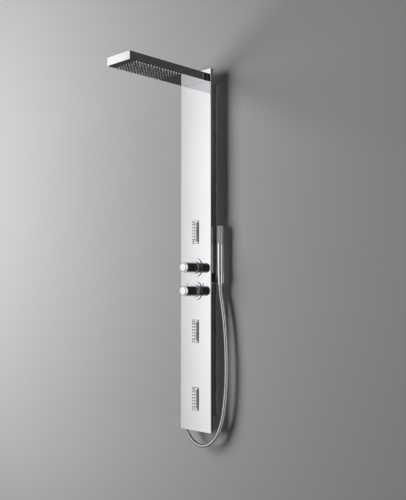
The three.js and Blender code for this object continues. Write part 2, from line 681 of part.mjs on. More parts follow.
function outletNut() {
  const { x, y, bottom, top, radius } = OUTLET;
  const ferrule = bar([x, y, bottom], [x, y, top], radius - 1, 16);
  const hexagon = bar([x, y, bottom + 8], [x, y, top], radius, 6);
  return cut(join(ferrule, hexagon), bar([x, y, bottom - 1], [x, y, top + 1], 5, 12));
}

piece('handset_holder', handsetHolder(), chrome());
piece('holder_screw', holderScrew(), zincSteel());
piece('hose_cone_nut', coneNut(), chrome());
piece('handset_handle', handle(), chrome());
piece('handset_spray_end', sprayEnd(), satinSteel());
piece('handset_spray_face', sprayFace(), silicone());
piece('shower_hose', hose(), chrome());
piece('hose_outlet_nut', outletNut(), chrome());

export default column;
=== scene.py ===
"""The looks of the rainfall shower column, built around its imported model.

Shapes are worked out in millimetres from the panel: x to the right of its middle, y behind its front
face and z above its lower edge. at() turns them into the frame's metres.
"""
import json
import math

import bmesh
import bpy
import numpy as np
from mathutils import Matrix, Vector


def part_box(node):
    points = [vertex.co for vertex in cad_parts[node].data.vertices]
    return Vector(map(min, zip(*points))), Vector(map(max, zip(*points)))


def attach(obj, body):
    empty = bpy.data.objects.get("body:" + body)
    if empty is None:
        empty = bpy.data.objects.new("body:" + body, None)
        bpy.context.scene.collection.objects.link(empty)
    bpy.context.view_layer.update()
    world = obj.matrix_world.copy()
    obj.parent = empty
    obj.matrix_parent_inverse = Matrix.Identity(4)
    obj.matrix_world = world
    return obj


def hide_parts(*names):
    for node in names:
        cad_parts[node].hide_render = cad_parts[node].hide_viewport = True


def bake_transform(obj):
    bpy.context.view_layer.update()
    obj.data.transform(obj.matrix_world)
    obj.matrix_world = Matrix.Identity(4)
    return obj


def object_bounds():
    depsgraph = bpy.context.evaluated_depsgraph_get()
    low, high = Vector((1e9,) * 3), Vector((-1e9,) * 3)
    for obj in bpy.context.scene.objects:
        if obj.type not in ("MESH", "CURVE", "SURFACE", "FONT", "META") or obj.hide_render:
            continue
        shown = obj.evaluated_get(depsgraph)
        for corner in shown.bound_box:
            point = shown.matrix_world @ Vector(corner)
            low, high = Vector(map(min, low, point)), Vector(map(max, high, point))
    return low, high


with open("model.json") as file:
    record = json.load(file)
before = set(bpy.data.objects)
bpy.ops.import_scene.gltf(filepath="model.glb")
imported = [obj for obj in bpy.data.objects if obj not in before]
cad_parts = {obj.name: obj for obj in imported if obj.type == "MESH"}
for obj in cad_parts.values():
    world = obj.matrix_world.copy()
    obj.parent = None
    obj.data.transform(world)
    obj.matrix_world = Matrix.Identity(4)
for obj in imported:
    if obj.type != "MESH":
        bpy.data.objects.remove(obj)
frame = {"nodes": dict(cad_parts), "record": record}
cad_low, cad_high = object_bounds()

MM = 0.001
panel_low, panel_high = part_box("front_panel")
PANEL_ORIGIN = Vector(((panel_low.x + panel_high.x) / 2, panel_low.y, panel_low.z))


def at(x, y, z):
    """A place in the frame from millimetres."""
    return PANEL_ORIGIN + Vector((x, y, z)) * MM


def box_mm(node):
    """A CAD node's lowest and highest corners in millimetres."""
    low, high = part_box(node)
    return (low - PANEL_ORIGIN) / MM, (high - PANEL_ORIGIN) / MM


def middle(node):
    low, high = box_mm(node)
    return (low + high) / 2


def round_node(node, axis):
    """A round CAD node's corners, the place of its axis "x", "y" or "z" and its radius."""
    low, high = box_mm(node)
    centre = tuple((low[i] + high[i]) / 2 for i in range(3) if "xyz"[i] != axis)
    return low, high, centre, (high.x - low.x) / 2


def shown(name, data):
    """A new object in the scene."""
    made = bpy.data.objects.new(name, data)
    bpy.context.scene.collection.objects.link(made)
    return made


# ---- camera ----

CAMERA_PLACE = (2204, -2222, 595)  # right of the panel, in front of it, above its lower edge
CAMERA_TURN = 44.19  # degrees to the right of the wall's normal
CAMERA_TILT = 2.79  # degrees upward
CAMERA_LENS = 53.95

camera_data = bpy.data.cameras.new("camera")
camera_data.lens = CAMERA_LENS
camera_data.sensor_width = 36
camera = shown("camera", camera_data)
camera.location = at(*CAMERA_PLACE)
camera.rotation_euler = (math.radians(90 + CAMERA_TILT), 0, math.radians(CAMERA_TURN))
bpy.context.scene.camera = camera


# ---- material nodes ----

class Nodes:
    """A node tree and short calls that add linked nodes to it."""

    def node(self, kind, inputs=(), **settings):
        made = self.tree.nodes.new(kind)
        for key, value in settings.items():
            setattr(made, key, value)
        for key, value in dict(inputs).items():
            if isinstance(value, bpy.types.NodeSocket):
                self.tree.links.new(value, made.inputs[key])
            else:
                made.inputs[key].default_value = value
        return made

    def maths(self, operation, first, second=0.0):
        return self.node("ShaderNodeMath", {0: first, 1: second}, operation=operation).outputs[0]

    def mapped(self, value, start, end, low, high, **settings):
        """The value from start to end as a number from low to high."""
        inputs = {"Value": value, "From Min": start, "From Max": end, "To Min": low, "To Max": high}
        return self.node("ShaderNodeMapRange", inputs, **settings).outputs[0]


class Finish(Nodes):
    """A Principled material, with the patterns that vary it over the surface."""

    def __init__(self, name, colour, metallic=0.0, roughness=0.5):
        self.material = bpy.data.materials.new(name)
        self.material.use_nodes = True
        self.tree = self.material.node_tree
        self.shader = self.tree.nodes["Principled BSDF"]
        self.set(Base_Color=(*colour, 1), Metallic=metallic, Roughness=roughness)
        self.place = self.tree.nodes.new("ShaderNodeTexCoord").outputs["Object"]
        self.material.diffuse_color = (*colour, 1)

    def stretched(self, x, y, z):
        """The surface's place with each axis scaled."""
        return self.node("ShaderNodeMapping", {"Vector": self.place, "Scale": (x, y, z)}).outputs[0]

    def noise(self, scale, detail=3.0, where=None, rough=0.5):
        inputs = {"Vector": where or self.place, "Scale": scale, "Detail": detail, "Roughness": rough}
        return self.node("ShaderNodeTexNoise", inputs).outputs[0]

    def cells(self, scale, output="Distance"):
        return self.node("ShaderNodeTexVoronoi", {"Vector": self.place, "Scale": scale}).outputs[output]

    def span(self, value, low, high, start=0.3, end=0.7):
        """A pattern's usual range as a number from low to high."""
        return self.mapped(value, start, end, low, high)

    def mixed(self, share, first, second):
        inputs = {0: share, 6: (*first, 1), 7: (*second, 1)}
        return self.node("ShaderNodeMix", inputs, data_type="RGBA").outputs[2]

    def colour(self, socket):
        self.tree.links.new(socket, self.shader.inputs["Base Color"])

    def roughness(self, socket):
        self.tree.links.new(socket, self.shader.inputs["Roughness"])

    def bump(self, height, depth_mm):
        """Unevenness of the surface, on top of any that is there already."""
        made = self.node("ShaderNodeBump", {"Height": height, "Distance": depth_mm * MM, "Strength": 1.0})
        before = self.shader.inputs["Normal"].links
        if before:
            self.tree.links.new(before[0].from_socket, made.inputs["Normal"])
        self.tree.links.new(made.outputs[0], self.shader.inputs["Normal"])
        return self

    def set(self, **values):
        for name, value in values.items():
            self.shader.inputs[name.replace("_", " ")].default_value = value


def mirror_metal(name, colour, worn, polish):
    """Buffed metal: faint wipe marks, hairlines and a breath of unevenness in the sheet."""
    f = Finish(name, colour, 1.0, polish)
    wipes = f.noise(9, 4, f.stretched(1, 1, 0.45), 0.6)
    hairlines = f.noise(900, 2, f.stretched(1, 1, 0.012))
    marks = f.maths("ADD", f.span(wipes, 0, 0.035, 0.42, 0.75), f.span(hairlines, 0, 0.03, 0.55, 0.8))
    f.roughness(f.maths("ADD", marks, polish))
    f.colour(f.mixed(f.span(f.noise(4, 3), 0, 1), colour, worn))
    return f.bump(f.noise(14, 1), 0.012).bump(hairlines, 0.0015)


def plated_metal(name, colour, polish):
    """Chrome plate over a polished casting: very smooth, with water-spot variation in the gloss."""
    f = Finish(name, colour, 1.0, polish)
    spots = f.cells(140)
    film = f.noise(35, 4)
    haze = f.maths("ADD", f.span(film, 0, 0.03, 0.45, 0.75), f.span(spots, 0.02, 0, 0.02, 0.12))
    f.roughness(f.maths("ADD", haze, polish))
    f.colour(f.mixed(f.span(film, 0, 1), colour, tuple(c * 0.95 for c in colour)))
    return f.bump(f.noise(60, 2), 0.006)


def brushed_metal(name, dark, light, stretch, roughness):
    """Sheet or tube with a fine directional grain."""
    f = Finish(name, light, 1.0, roughness)
    grain = f.noise(1500, 4, f.stretched(*stretch), 0.65)
    cloud = f.noise(11, 4)
    f.colour(f.mixed(f.span(f.maths("ADD", grain, cloud), 0, 1, 0.75, 1.25), dark, light))
    f.roughness(f.span(grain, roughness - 0.07, roughness + 0.09))
    return f.bump(grain, 0.012)


def zinc_plate():
    """Bright zinc: crystals of slightly different grey, each with its own gloss."""
    f = Finish("zinc_plate", (0.52, 0.54, 0.56), 1.0, 0.36)
    crystals = f.cells(330, output="Color")
    grey = f.node("ShaderNodeSeparateColor", {0: crystals}).outputs[0]
    f.colour(f.mixed(grey, (0.44, 0.46, 0.48), (0.62, 0.63, 0.63)))
    f.roughness(f.span(grey, 0.28, 0.46, 0, 1))
    return f.bump(f.noise(700, 3), 0.01)


def cast_brass():
    """Brass as cast and tumbled: satin, a little uneven, darker where it has stained."""
    f = Finish("cast_brass", (0.70, 0.52, 0.27), 1.0, 0.34)
    stain = f.noise(45, 5, rough=0.6)
    f.colour(f.mixed(f.span(stain, 0, 1), (0.52, 0.37, 0.18), (0.78, 0.60, 0.33)))
    f.roughness(f.span(stain, 0.44, 0.27))
    return f.bump(f.noise(420, 4), 0.03).bump(f.noise(30, 2), 0.05)


def moulded_plastic():
    """Dark glass-filled nylon with a spark-eroded surface and pale flow marks."""
    f = Finish("moulded_plastic", (0.03, 0.031, 0.033), 0.0, 0.55)
    flow = f.noise(30, 5, f.stretched(1, 1, 0.35), 0.6)
    f.colour(f.mixed(f.span(flow, 0, 1), (0.02, 0.021, 0.022), (0.048, 0.049, 0.052)))
    f.roughness(f.span(flow, 0.62, 0.46))
    return f.bump(f.noise(1800, 3), 0.02)


def soft_silicone(name, dark, light):
    """Silicone: matt with a faint skin, and lime dust on it."""
    f = Finish(name, light, 0.0, 0.42)
    dust = f.noise(260, 5, rough=0.65)
    f.colour(f.mixed(f.span(dust, 0, 1, 0.35, 0.65), dark, light))
    f.roughness(f.span(dust, 0.36, 0.6))
    f.set(Sheen_Weight=0.1, Coat_Weight=0.15, Coat_Roughness=0.25)
    return f.bump(dust, 0.015)


FINISHES = {
    "mirror_steel": mirror_metal("mirror_steel", (0.82, 0.817, 0.84), (0.79, 0.787, 0.81), 0.018),
    "satin_steel": brushed_metal("satin_steel", (0.40, 0.41, 0.42), (0.60, 0.61, 0.62), (1, 1, 0.01), 0.24),
    "zinc_steel": zinc_plate(),
    "brass": cast_brass(),
    "chrome": plated_metal("chrome", (0.85, 0.86, 0.87), 0.02),
    "satin_chrome": brushed_metal("satin_chrome", (0.50, 0.50, 0.51), (0.66, 0.66, 0.67),
                                  (0.02, 0.02, 1), 0.45),
    "jet_face": plated_metal("jet_face", (0.96, 0.963, 0.965), 0.27),
    "nozzle_silicone": soft_silicone("nozzle_silicone", (0.76, 0.77, 0.77), (0.88, 0.89, 0.89)),
    "spray_face": soft_silicone("spray_face", (0.30, 0.31, 0.32), (0.42, 0.43, 0.44)),
    "grey_plastic": moulded_plastic(),
    "hose_metal": plated_metal("hose_metal", (0.80, 0.81, 0.82), 0.06),
}

# The CAD's own meshes, shown wherever no piece replaces them, wear the same finishes.
slot_of = {part["node"]: part["material_slot"] for part in frame["record"]["subparts"]}
for node_name, node_object in frame["nodes"].items():
    for material_slot in node_object.material_slots:
        material_slot.material = FINISHES[slot_of[node_name]].material


# ---- shapes ----

NEARLY_STRAIGHT = math.radians(88)  # half the angle between sides that need no rounding
MOST_OF_A_SIDE = 0.46  # the share of a side that one corner may take
SHARP = math.radians(35)  # edges that turn by more than this are bevelled or stay sharp


def corner_arc(before, corner, after, radius, steps):
    """A corner's rounding, with one more point on each side that keeps the straight stretches flat."""
    corner = np.array(corner, float)
    back, on = np.array(before, float) - corner, np.array(after, float) - corner
    back_length, on_length = np.linalg.norm(back), np.linalg.norm(on)
    back, on = back / back_length, on / on_length
    half_angle = math.acos(max(-1, min(1, float(back @ on)))) / 2
    if radius <= 0 or half_angle > NEARLY_STRAIGHT:
        return [tuple(corner)]
    tangent = min(radius / math.tan(half_angle), MOST_OF_A_SIDE * back_length, MOST_OF_A_SIDE * on_length)
    radius = tangent * math.tan(half_angle)
    centre = corner + (back + on) / np.linalg.norm(back + on) * (radius / math.sin(half_angle))
    first, last = corner + back * tangent - centre, corner + on * tangent - centre
    turn = math.pi - 2 * half_angle
    side = 1 if first[0] * last[1] - first[1] * last[0] > 0 else -1
    hold = min(0.25 * tangent, 0.02 * min(back_length, on_length) + 0.02)
    points = [corner + back * (tangent + hold)]
    for step in range(steps + 1):
        angle = side * turn * step / steps
        c, s = math.cos(angle), math.sin(angle)
        points.append(centre + np.array((c * first[0] - s * first[1], s * first[0] + c * first[1])))
    points.append(corner + on * (tangent + hold))
    return [tuple(p) for p in points]


def rounded(points, closed=False, steps=4):
    """An outline of (a, b) or (a, b, radius) points with its corners rounded."""
    flat = [p[:2] for p in points]
    result = []
    for i, point in enumerate(points):
        end = not closed and i in (0, len(points) - 1)
        radius = point[2] if len(point) > 2 and not end else 0
        result += corner_arc(flat[i - 1], flat[i], flat[(i + 1) % len(flat)], radius, steps)
    return result


class Shape:
    """Points in millimetres and the faces between them, gathered part by part."""

    def __init__(self):
        self.points, self.faces = [], []

    def add(self, points, faces):
        start = len(self.points)
        self.points += [tuple(float(v) for v in p) for p in points]
        self.faces += [tuple(i + start for i in face) for face in faces]
        return self

    def join(self, other):
        return self.add(other.points, other.faces)

    def block(self, x0, x1, y0, y1, z0, z1):
        points = [(x, y, z) for x in (x0, x1) for y in (y0, y1) for z in (z0, z1)]
        faces = [(0, 1, 3, 2), (4, 6, 7, 5), (0, 4, 5, 1), (2, 3, 7, 6), (0, 2, 6, 4), (1, 5, 7, 3)]
        return self.add(points, faces)

    def turned(self, outline, axis, centre, sides=96, closed=False):
        """A turned form from (radius, along) points, on an axis "x", "y" or "z" through centre."""
        rings, points = [], []
        for radius, along in outline:
            count = 1 if radius < 1e-6 else sides
            rings.append(range(len(points), len(points) + count))
            for i in range(count):
                angle = 2 * math.pi * i / sides
                a, b = centre[0] + radius * math.cos(angle), centre[1] + radius * math.sin(angle)
                points.append({"x": (along, a, b), "y": (a, along, b), "z": (a, b, along)}[axis])
        faces = []
        pairs = list(zip(rings, rings[1:])) + ([(rings[-1], rings[0])] if closed else [])
        for near, far in pairs:
            for i in range(sides):
                j = (i + 1) % sides
                corners = [ring[k % len(ring)] for ring, k in ((near, i), (near, j), (far, j), (far, i))]
                if len(set(corners)) > 2:
                    faces.append(tuple(dict.fromkeys(corners)))
        if not closed:
            faces += [tuple(ring) for ring in (rings[0], rings[-1]) if len(ring) > 1]
        return self.add(points, faces)

    def lathed(self, points, axis, centre, sides=96, closed=False, steps=4):
        """A turned form whose outline's corners are rounded."""
        return self.turned(rounded(points, closed, steps), axis, centre, sides, closed)

    def bar(self, radius, axis, centre, start, end, sides=48, chamfer=0.0):
        """A round bar along an axis."""
        outline = [(0, start), (radius, start, chamfer), (radius, end, chamfer), (0, end)]
        return self.lathed(outline, axis, centre, sides, steps=3)

    def hexagon(self, across, axis, centre, start, end):
        """A hexagonal nut's body, its corners turned off at both ends."""
        radius = across / math.sqrt(3)
        slope = radius - across / 2
        prism = Shape().bar(radius, axis, centre, start, end, 6)
        blank = Shape().turned([
            (0, start), (across * 0.48, start), (radius, start + slope * 0.9),
            (radius, end - slope * 0.9), (across * 0.48, end), (0, end),
        ], axis, centre, 48)
        return self.join(carved(prism, blank, "INTERSECT"))

    def drawn(self, points, axis, start, end, steps=4):
        """A rounded outline drawn along an axis: (x, y) points along "z", or (y, z) points along "x"."""
        outline = rounded(points, closed=True, steps=steps)
        count = len(outline)
        ends = [(a, b, t) if axis == "z" else (t, a, b) for t in (start, end) for a, b in outline]
        faces = [(i, (i + 1) % count, count + (i + 1) % count, count + i) for i in range(count)]
        return self.add(ends, faces + [tuple(range(count)), tuple(range(count, 2 * count))])

    def tube(self, path, radii, sides=24):
        """A round form that follows a path with a radius for each point of it."""
        path = np.array(path, float)
        ahead = np.gradient(path, axis=0)
        ahead /= np.linalg.norm(ahead, axis=1)[:, None]
        across = np.cross(ahead[0], (0, 1, 0))
        if np.linalg.norm(across) < 0.1:
            across = np.cross(ahead[0], (1, 0, 0))
        angles = np.arange(sides) * 2 * math.pi / sides
        around = [(k, (k + 1) % sides) for k in range(sides)]
        points, faces = [tuple(path[0])], []
        for i, (centre, forward, radius) in enumerate(zip(path, ahead, radii)):
            across = across - forward * (across @ forward)
            across /= np.linalg.norm(across)
            up = np.cross(forward, across)
            ring = centre + radius * (np.cos(angles)[:, None] * across + np.sin(angles)[:, None] * up)
            points += [tuple(p) for p in ring]
            near, far = 1 + (i - 1) * sides, 1 + i * sides
            if i:
                faces += [(near + k, near + j, far + j, far + k) for k, j in around]
        last = 1 + (len(path) - 1) * sides
        points.append(tuple(path[-1]))
        faces += [(0, 1 + j, 1 + k) for k, j in around]
        faces += [(last + sides, last + k, last + j) for k, j in around]
        return self.add(points, faces)


def mesh_of(shape, name, scale=1.0, origin=(0, 0, 0)):
    """A Blender mesh whose faces all point out."""
    mesh = bpy.data.meshes.new(name)
    points = [Vector(origin) + Vector(p) * scale for p in shape.points]
    mesh.from_pydata(points, [], shape.faces)
    work = bmesh.new()
    work.from_mesh(mesh)
    bmesh.ops.recalc_face_normals(work, faces=work.faces)
    work.to_mesh(mesh)
    work.free()
    return mesh


def carved(shape, tool, how="DIFFERENCE"):
    """The shape cut by a tool, joined to it or kept only inside it."""
    objects = [shown("work", mesh_of(s, "work")) for s in (shape, tool)]
    modifier = objects[0].modifiers.new("carve", "BOOLEAN")
    modifier.object, modifier.operation, modifier.solver = objects[1], how, "EXACT"
    made = objects[0].evaluated_get(bpy.context.evaluated_depsgraph_get()).to_mesh()
    result = Shape().add([v.co for v in made.vertices], [tuple(p.vertices) for p in made.polygons])
    for o in objects:
        mesh = o.data
        bpy.data.objects.remove(o)
        bpy.data.meshes.remove(mesh)
    return result


def solid(node):
    """A CAD node's box as a shape."""
    low, high = box_mm(node)
    return Shape().block(low.x, high.x, low.y, high.y, low.z, high.z)


def piece(name, shape, slot, nodes=(), body="column", bevel=0.0, steps=3):
    """A shown piece with its slot's finish. The bevel is in millimetres and rounds every sharp edge."""
    mesh = mesh_of(shape, name, MM, PANEL_ORIGIN)
    mesh.materials.append(FINISHES[slot].material)
    mesh.polygons.foreach_set("use_smooth", [True] * len(mesh.polygons))
    made = shown(name, mesh)
    if bevel:
        rounding = made.modifiers.new("rounding", "BEVEL")
        rounding.width, rounding.segments = bevel * MM, steps
        rounding.limit_method, rounding.angle_limit = "ANGLE", SHARP
        rounding.use_clamp_overlap = True
        normals = made.modifiers.new("normals", "WEIGHTED_NORMAL")
        normals.weight, normals.keep_sharp = 100, True
    else:
        mesh.set_sharp_from_angle(angle=SHARP)
    if body:
        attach(made, body)
    if nodes:
        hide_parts(*nodes)
    return made


# ---- hose ----

# The hose hangs from the handset in one long loop and comes up into the outlet.
HOSE_ROUTE = [
    (118, 25, 598.7), (118, 25, 590), (119.6, 24.9, 574), (123.6, 24.8, 552),
    (129, 24.6, 525), (134.8, 24.4, 494), (140.2, 24.1, 460), (144.8, 23.8, 422),
    (148.4, 23.5, 380), (151.2, 23.1, 335), (152.9, 22.7, 290), (153.2, 22.3, 246),
    (151.8, 21.9, 202), (148.8, 21.5, 160), (144, 21.1, 118), (136.8, 20.6, 77),
    (126.4, 20.1, 38), (112.4, 19.6, 5), (95, 19, -21), (74.6, 18.4, -40.4),
    (52.6, 17.8, -53.4), (30.4, 17.1, -60.2), (8.4, 16.4, -60.8), (-13, 15.7, -54.8),
    (-32.8, 15, -42.8), (-50, 14.2, -26), (-63, 13.3, -7), (-71.4, 12.5, 11),
    (-74.3, 12, 21.5), (-74.5, 12, 27.6),
]
HOSE_RADIUS = 7.0
STEPS_PER_STRETCH = 24  # the curve's steps from one point of the route to the next
STRIP_PITCH = 3.4  # one turn of the wound strip
STRIP_GROOVE = 0.75
STRIP_PROFILE = [  # the share of a turn, and how deep in the groove it lies
    (0.0, 1.0), (0.08, 0.35), (0.22, 0.06), (0.5, 0.0), (0.78, 0.06), (0.92, 0.35),
]


def curve_through(points):
    """A centripetal Catmull-Rom curve as a close row of points."""
    knots = [np.array(p, float) for p in points]
    knots = [2 * knots[0] - knots[1], *knots, 2 * knots[-1] - knots[-2]]
    row = []
    for a, b, c, d in zip(knots, knots[1:], knots[2:], knots[3:]):
        t0, t1, t2 = (math.sqrt(np.linalg.norm(q - p)) for p, q in ((a, b), (b, c), (c, d)))
        start = ((b - a) / t0 - (c - a) / (t0 + t1) + (c - b) / t1) * t1
        end = ((c - b) / t1 - (d - b) / (t1 + t2) + (d - c) / t2) * t1
        for t in np.linspace(0, 1, STEPS_PER_STRETCH, endpoint=False):
            row.append((2 * t**3 - 3 * t**2 + 1) * b + (t**3 - 2 * t**2 + t) * start
                       + (3 * t**2 - 2 * t**3) * c + (t**3 - t**2) * end)
    return np.array([*row, knots[-2]])


def build_hose():
    """Interlocked metal strip: rounded turns with a narrow groove between them."""
    line = curve_through(HOSE_ROUTE)
    travel = np.concatenate(([0], np.cumsum(np.linalg.norm(np.diff(line, axis=0), axis=1))))
    turns = round(travel[-1] / STRIP_PITCH)
    pitch = travel[-1] / turns
    along = [(turn + share) * pitch for turn in range(turns) for share, _ in STRIP_PROFILE] + [travel[-1]]
    radii = [HOSE_RADIUS - depth * STRIP_GROOVE for _ in range(turns) for _, depth in STRIP_PROFILE]
    radii.append(HOSE_RADIUS - STRIP_GROOVE)
    path = np.stack([np.interp(along, travel, line[:, k]) for k in range(3)], axis=1)
    hose = piece("shower_hose_wound", Shape().tube(path, radii, 28), "hose_metal", ["shower_hose"], body=None)
    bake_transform(hose)


# ---- panel and the frame behind it ----

SHEET = 1.5  # thickness of the panel's and the head's sheet
PANEL_WIDTH, PANEL_DEPTH, PANEL_HEIGHT = ((high - low) / MM for low, high in zip(panel_low, panel_high))
PANEL_LIP = 24  # how far the tray's sides turn in behind it
FOLD_RADIUS = 2.0
HALF = PANEL_WIDTH / 2
NOTCH_EDGE, NOTCH_TOP = -56, 62  # the hose's way in, at the lower left corner
JETS = (1, 2, 3)
JET_INNER, JET_REACH = 13.4, 42  # half the width and height of the panel's jet windows
VALVES = ("selector", "temperature")
SIDES = ("left", "right")
INLETS = ("inlet_union_hot", "inlet_union_cold")


def build_panel():
    """A folded tray with windows for the jets, bores for the valves and a notch for the hose."""
    tray = Shape().drawn([
        (HALF, PANEL_DEPTH, 1.0), (HALF, 0, FOLD_RADIUS), (-HALF, 0, FOLD_RADIUS), (-HALF, PANEL_DEPTH, 1.0),
    ], "z", 0, PANEL_HEIGHT, steps=6)
    inner = HALF - SHEET
    inside = Shape().block(-inner, inner, SHEET, PANEL_DEPTH - SHEET, SHEET, PANEL_HEIGHT - SHEET)
    lip = HALF - PANEL_LIP
    back = Shape().block(-lip, lip, PANEL_DEPTH - SHEET - 1, PANEL_DEPTH + 1, SHEET, PANEL_HEIGHT - SHEET)
    openings = Shape()
    for number in JETS:
        z = middle(f"jet_frame_{number}").z
        openings.block(-JET_INNER, JET_INNER, -1, SHEET + 1, z - JET_REACH, z + JET_REACH)
    for valve in VALVES:
        centre = middle(f"{valve}_wall_ring")
        openings.bar(15, "y", (centre.x, centre.z), -1, SHEET + 1)
    root_top = box_mm("head_root")[1].z
    openings.block(-50, 50, -1, SHEET + 1, root_top - 28, root_top - 3)
    notch = Shape().block(-inner, NOTCH_EDGE, SHEET, PANEL_DEPTH + 1, -1, NOTCH_TOP)
    for tool in (inside, back, openings, notch):
        tray = carved(tray, tool)
    piece("front_panel_tray", tray, "mirror_steel", ["front_panel"], bevel=0.35)


RAIL_SHEET = 2.0


def build_rails():
    """C-shaped rails folded from sheet, with screw holes."""
    for sign, side in zip((-1, 1), SIDES):
        name, sheet = f"rail_{side}", RAIL_SHEET
        low, high = box_mm(name)
        outer, inner = (high.x, low.x) if sign > 0 else (-low.x, -high.x)
        outline = [
            (outer, low.y, 2.4), (outer, high.y, 2.4), (inner, high.y, 0.5), (inner, high.y - sheet, 0.5),
            (outer - sheet, high.y - sheet, 0.8), (outer - sheet, low.y + sheet, 0.8),
            (inner, low.y + sheet, 0.5), (inner, low.y, 0.5),
        ]
        rail = Shape().drawn([(sign * x, y, r) for x, y, r in outline], "z", low.z, high.z)
        holes = Shape()
        for index in (1, 2):
            screw = middle(f"panel_screw_{side}_{index}")
            holes.bar(2.3, "y", (screw.x, screw.z), low.y - 1, low.y + sheet + 1, 24)
        piece(f"{name}_folded", carved(rail, holes), "satin_steel", [name], bevel=0.25, steps=2)


WALL_SCREWS = (-38, 38)  # across each bracket


def build_wall_side():
    """Cross members, hooked wall brackets and the end plates."""
    for place in ("upper", "lower"):
        member = f"cross_member_{place}"
        piece(f"{member}_plate", solid(member), "satin_steel", [member], bevel=0.5)
        name = f"wall_bracket_{place}"
        low, high = box_mm(name)
        z = low.z + 32
        bracket = Shape().drawn([
            (high.y, z - 32, 0.4), (high.y, z + 24, 2.5), (low.y, z + 24, 2.5), (low.y, z + 8, 0.4),
            (low.y + 2, z + 8, 0.4), (low.y + 2, z + 21, 0.8), (high.y - 3, z + 21, 0.8),
            (high.y - 3, z - 32, 0.4),
        ], "x", low.x, high.x)
        holes = Shape()
        for x in WALL_SCREWS:
            holes.bar(3.2, "y", (x, z - 18), high.y - 5, high.y + 1, 32)
        piece(f"{name}_hook", carved(bracket, holes), "zinc_steel", [name], bevel=0.3, steps=2)
    pipe = middle("riser_pipe")
    for place, bore in (("top", 8.8), ("bottom", 7.3)):
        plate = f"chassis_{place}_plate"
        low, high = box_mm(plate)
        holes = Shape().bar(bore, "z", (pipe.x, pipe.y), low.z - 1, high.z + 1, 32)
        if place == "top":
            for bolt in (middle(f"head_bolt_{side}") for side in SIDES):
                holes.bar(3.3, "z", (bolt.x, bolt.y), low.z - 1, high.z + 1, 24)
        piece(f"chassis_{place}_sheet", carved(solid(plate), holes), "satin_steel", [plate],
              bevel=0.3, steps=2)


def build_screws():
    """Pan-head screws with a cross recess, and the head's two hexagon bolts."""
    for side in SIDES:
        for index in (1, 2):
            name = f"panel_screw_{side}_{index}"
            low, high, (x, z), head = round_node(name, "y")
            shank, under = 1.8, high.y - 2.4
            screw = Shape().lathed([
                (0, low.y), (shank * 0.7, low.y, 0.2), (shank, low.y + 1.2, 0.2), (shank, under),
                (head, under, 0.3), (head, high.y, 1.5), (0, high.y),
            ], "y", (x, z), 32)
            slots = [Shape().block(x - wide, x + wide, high.y - 1.2, high.y + 1, z - tall, z + tall)
                     for wide, tall in ((1.9, 0.45), (0.45, 1.9))]
            piece(f"{name}_pan_head", carved(screw, carved(*slots, "UNION")), "zinc_steel", [name])
        bolt = f"head_bolt_{side}"
        low, high, axis, _ = round_node(bolt, "z")
        shoulder = low.z + 3.9
        shape = Shape().hexagon(9.5, "z", axis, low.z, shoulder)
        shape.bar(3, "z", axis, shoulder, high.z, 32, 0.5)
        piece(f"{bolt}_hexagon", shape, "zinc_steel", [bolt])


# ---- rain head ----

NOZZLES_ACROSS, NOZZLES_ALONG = 9, 16


def build_head():
    """A folded box open below, a face plate set into it, and rows of silicone nozzles."""
    low, high = box_mm("head_shell")
    hollow = Shape().block(low.x + SHEET, high.x - SHEET, low.y + SHEET, high.y + 1,
                           low.z - 1, high.z - SHEET)
    piece("head_shell_folded", carved(solid("head_shell"), hollow), "mirror_steel", ["head_shell"],
          bevel=0.5, steps=4)

    low, high = box_mm("head_face_plate")
    face = low.z
    nozzle = rounded([
        (0, face + 1.9), (2.8, face + 1.9), (2.8, face - 0.1), (2.7, face - 0.5, 0.2),
        (2.2, face - 2.3, 0.45), (0.8, face - 2.3, 0.2), (0.6, face - 1.2), (0, face - 1.2),
    ], steps=2)
    field_low, field_high = box_mm("head_nozzle_mat")
    bores, nozzles = Shape(), Shape()
    for x in np.linspace(field_low.x + 2, field_high.x - 2, NOZZLES_ACROSS):
        for y in np.linspace(field_low.y + 7, field_high.y - 7, NOZZLES_ALONG):
            bores.bar(2.95, "z", (x, y), face - 1, high.z + 1, 16)
            nozzles.turned(nozzle, "z", (x, y), 16)
    piece("head_face_sheet", carved(solid("head_face_plate"), bores), "mirror_steel", ["head_face_plate"],
          bevel=0.2, steps=2)
    piece("head_nozzles", nozzles, "nozzle_silicone")


# ---- body jets ----

NUB_COLUMNS, NUB_ROWS = 2, 6
NUB_PITCH_X, NUB_PITCH_Z = 10.6, 12.3
NUB_PROUD = 2.2  # how far the nozzles stand out of the block's face
BLOCK_HALF, BLOCK_REACH = 11.4, 37.5  # half the width and height of the tilting block
BLOCK_SHEET, BLOCK_FILL = 2, 35.4  # the face's thickness, and half the height of what it wraps round
SEAL_MARGIN = (1.6, 1.2)  # how far the seal shows beside and above a jet's frame
PIVOT_DEPTH = 6
HOUSING_BACK = 22
HOUSING_RIBS = (-30, -15, 15, 30)


